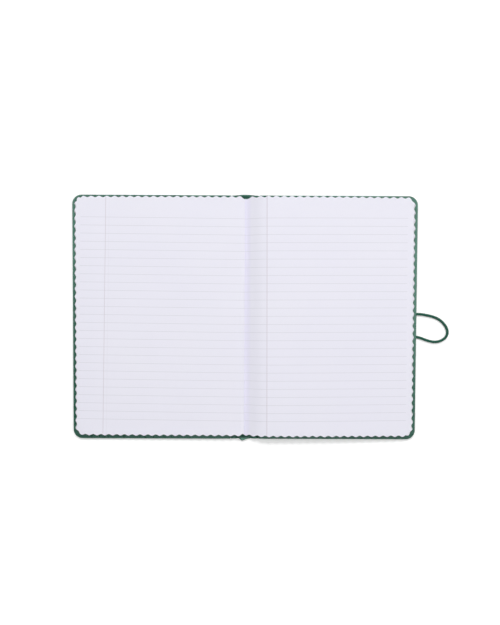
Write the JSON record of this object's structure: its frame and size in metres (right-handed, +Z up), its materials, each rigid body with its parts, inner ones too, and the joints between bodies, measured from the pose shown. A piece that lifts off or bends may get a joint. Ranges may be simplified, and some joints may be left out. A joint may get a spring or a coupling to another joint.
{
  "type": "case-bound notebook",
  "caption": "Open case-bound notebook with scalloped ruled leaves, a dark green covered case, hinged covers and an elastic cord loop on the back cover.",
  "frame": {"origin": "middle of the underside of the open case, on the resting surface, without the cord loop", "axes": "+X across the pages towards the back cover, +Y towards the head of the pages, +Z up from the table"},
  "size_m": [0.3266, 0.2134, 0.0122],
  "materials": {
    "leaves": "matte",
    "end_paper": "matte",
    "green_covering": "satin",
    "grey_board": "matte",
    "gauze": "matte",
    "band_cloth": "matte",
    "green_elastic": "matte"
  },
  "bodies": {
    "book_block": {"text_block": "leaves", "spine_lining": "gauze", "headband": "band_cloth", "tailband": "band_cloth", "spine_strip": "grey_board", "spine_covering": "green_covering"},
    "front_cover": {"front_board": "grey_board", "front_covering": "green_covering", "front_endleaf": "end_paper"},
    "back_cover": {"back_board": "grey_board", "back_covering": "green_covering", "back_endleaf": "end_paper", "elastic_loop": "green_elastic"}
  },
  "joints": [
    {"name": "front_cover_hinge", "type": "hinge", "parent": "book_block", "child": "front_cover", "pos_m": [-0.00875, 0, 0.0013], "axis": [0, -1, 0], "range_deg": [0, 90]},
    {"name": "back_cover_hinge", "type": "hinge", "parent": "book_block", "child": "back_cover", "pos_m": [0.00875, 0, 0.0013], "axis": [0, 1, 0], "range_deg": [0, 90]}
  ]
}
